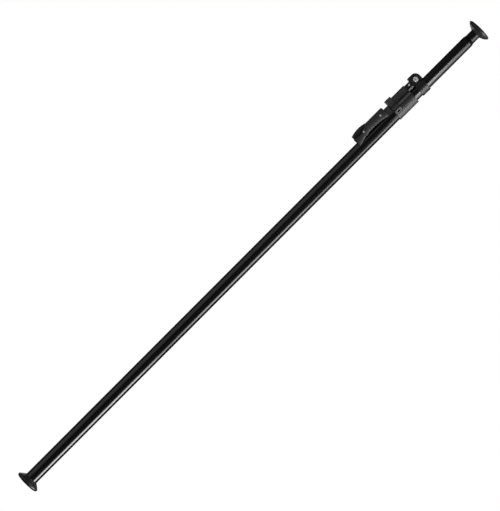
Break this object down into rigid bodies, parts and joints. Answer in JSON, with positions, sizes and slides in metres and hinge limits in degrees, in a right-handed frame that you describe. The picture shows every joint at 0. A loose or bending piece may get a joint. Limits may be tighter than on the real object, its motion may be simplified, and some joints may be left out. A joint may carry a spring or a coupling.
{
  "type": "telescoping cargo bar",
  "caption": "Telescoping two-tube cargo bar with mushroom rubber pads, a side lever that drives a bolted clamp ring, a thumb catch and a release slide.",
  "frame": {"origin": "centre of the fixed pad's flat outer face, on the tubes' common axis", "axes": "+X along the bar towards the moving pad, +Z towards the lever, -Y towards the pinch bolt's head"},
  "size_m": [2.1, 0.083, 0.0949],
  "materials": {
    "tube_black": "gloss",
    "cast_black": "satin",
    "matte_black": "satin",
    "lever_black": "satin",
    "catch_plastic": "matte",
    "pad_rubber": "matte",
    "bright_steel": "satin",
    "nylon": "matte"
  },
  "bodies": {
    "outer": {"outer_tube": "tube_black", "fixed_pad": "pad_rubber", "fixed_plug": "nylon", "main_collar": "cast_black", "guide_bush": "nylon", "lever_bracket": "cast_black", "lever_rivets": "bright_steel", "catch_keeper": "bright_steel", "housing_cover": "matte_black", "housing_rail_near": "cast_black", "housing_rail_far": "cast_black"},
    "lever": {"lever_handle": "lever_black", "crank_pin": "bright_steel", "catch_pin": "bright_steel"},
    "catch": {"thumb_catch": "catch_plastic"},
    "release": {"release_slide": "matte_black"},
    "carriage": {"push_bar": "bright_steel", "link_block": "matte_black", "link_screw": "bright_steel", "clamp_ring": "cast_black", "pinch_bolt": "bright_steel", "pinch_washer": "bright_steel", "pinch_nut": "bright_steel"},
    "inner": {"inner_tube": "tube_black", "tail_bush": "nylon", "end_neck": "tube_black", "moving_pad": "pad_rubber"}
  },
  "joints": [
    {"name": "lever_swing", "type": "hinge", "parent": "outer", "child": "lever", "pos_m": [1.6668, 0, 0.0316], "axis": [0, 1, 0], "range_deg": [0, 90]},
    {"name": "catch_press", "type": "hinge", "parent": "lever", "child": "catch", "pos_m": [1.5911, 0, 0.0322], "axis": [0, -1, 0], "range_deg": [0, 8], "stiffness_Nm_per_rad": 0.6, "springref_deg": -14.32},
    {"name": "release_push", "type": "slide", "parent": "outer", "child": "release", "axis": [-1, 0, 0], "range_m": [0, 0.0035], "stiffness_N_per_m": 900, "springref_m": -0.004},
    {"name": "carriage_feed", "type": "slide", "parent": "outer", "child": "carriage", "axis": [1, 0, 0], "range_m": [0, 0.0201]},
    {"name": "tube_extend", "type": "slide", "parent": "carriage", "child": "inner", "axis": [1, 0, 0], "range_m": [-0.18, 0.45]}
  ],
  "couplings": [
    {"joint": "carriage_feed", "follows": "lever_swing", "m_per_rad": 0.012732}
  ]
}
